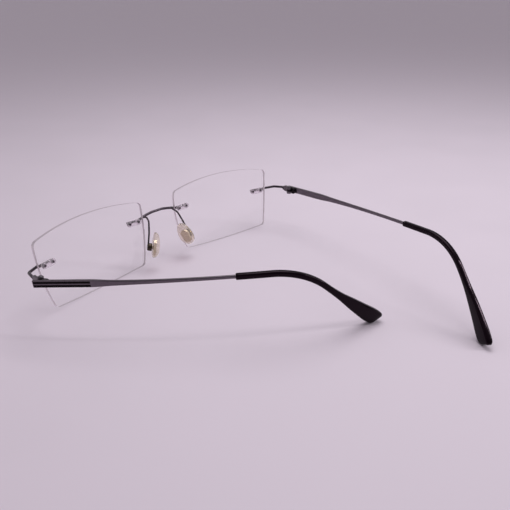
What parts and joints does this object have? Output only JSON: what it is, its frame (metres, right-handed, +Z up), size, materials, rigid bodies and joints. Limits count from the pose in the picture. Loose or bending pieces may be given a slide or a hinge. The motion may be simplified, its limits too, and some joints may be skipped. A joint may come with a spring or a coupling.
{
  "type": "eyeglasses",
  "caption": "Rimless eyeglasses with clear lenses, a wire bridge, adjustable nose pads and slim folding temples with curved black ear tips.",
  "frame": {"origin": "under the crown of the bridge wire, on the object's middle plane", "axes": "+Z up the front of the glasses, -Y the way the wearer looks, +X the wearer's left; the right temple is fully open and the left one lies part folded"},
  "size_m": [0.1439, 0.1501, 0.0337],
  "materials": {
    "lens": "clear moulded acrylic demonstration lens, polished",
    "sleeve": "clear nylon sleeve",
    "frame_metal": "gunmetal plating on wire, satin",
    "hinge_metal": "dark gunmetal plating",
    "screw_metal": "dark steel screw",
    "pad_core_brass": "brass insert, tarnished",
    "pad_silicone": "clear silicone",
    "temple_metal": "gunmetal plating, satin, edges polished",
    "stripe_enamel": "black enamel fill, glossy",
    "tip_acetate": "black moulded tip, glossy"
  },
  "bodies": {
    "front": {"bridge": "frame_metal", "left_lens": "lens", "left_outer_sleeves": "sleeve", "left_inner_sleeves": "sleeve", "left_end_piece": "frame_metal", "left_front_hinge": "hinge_metal", "left_hinge_screw": "screw_metal", "left_pad_arm": "frame_metal", "left_pad_box": "hinge_metal", "left_pad_screw": "screw_metal", "right_lens": "lens", "right_outer_sleeves": "sleeve", "right_inner_sleeves": "sleeve", "right_end_piece": "frame_metal", "right_front_hinge": "hinge_metal", "right_hinge_screw": "screw_metal", "right_pad_arm": "frame_metal", "right_pad_box": "hinge_metal", "right_pad_screw": "screw_metal"},
    "left_pad_unit": {"left_pad_core": "pad_core_brass", "left_nose_pad": "pad_silicone"},
    "left_side": {"left_temple": "temple_metal", "left_temple_hinge": "hinge_metal", "left_temple_stripes": "stripe_enamel", "left_temple_tip": "tip_acetate"},
    "right_pad_unit": {"right_pad_core": "pad_core_brass", "right_nose_pad": "pad_silicone"},
    "right_side": {"right_temple": "temple_metal", "right_temple_hinge": "hinge_metal", "right_temple_stripes": "stripe_enamel", "right_temple_tip": "tip_acetate"}
  },
  "joints": [
    {"name": "left_temple_fold", "type": "hinge", "parent": "front", "child": "left_side", "pos_m": [0.06887, 0.0219, -0.002], "axis": [0, 0, 1], "range_deg": [-34.9, 42]},
    {"name": "right_temple_fold", "type": "hinge", "parent": "front", "child": "right_side", "pos_m": [-0.06887, 0.0219, -0.002], "axis": [0, 0, -1], "range_deg": [0, 80]},
    {"name": "left_pad_rock", "type": "hinge", "parent": "front", "child": "left_pad_unit", "pos_m": [0.01112, 0.00855, -0.01235], "axis": [-0.3983, -0.8543, -0.334], "range_deg": [-10, 10]},
    {"name": "right_pad_rock", "type": "hinge", "parent": "front", "child": "right_pad_unit", "pos_m": [-0.01112, 0.00855, -0.01235], "axis": [0.3983, -0.8543, -0.334], "range_deg": [-10, 10]}
  ]
}
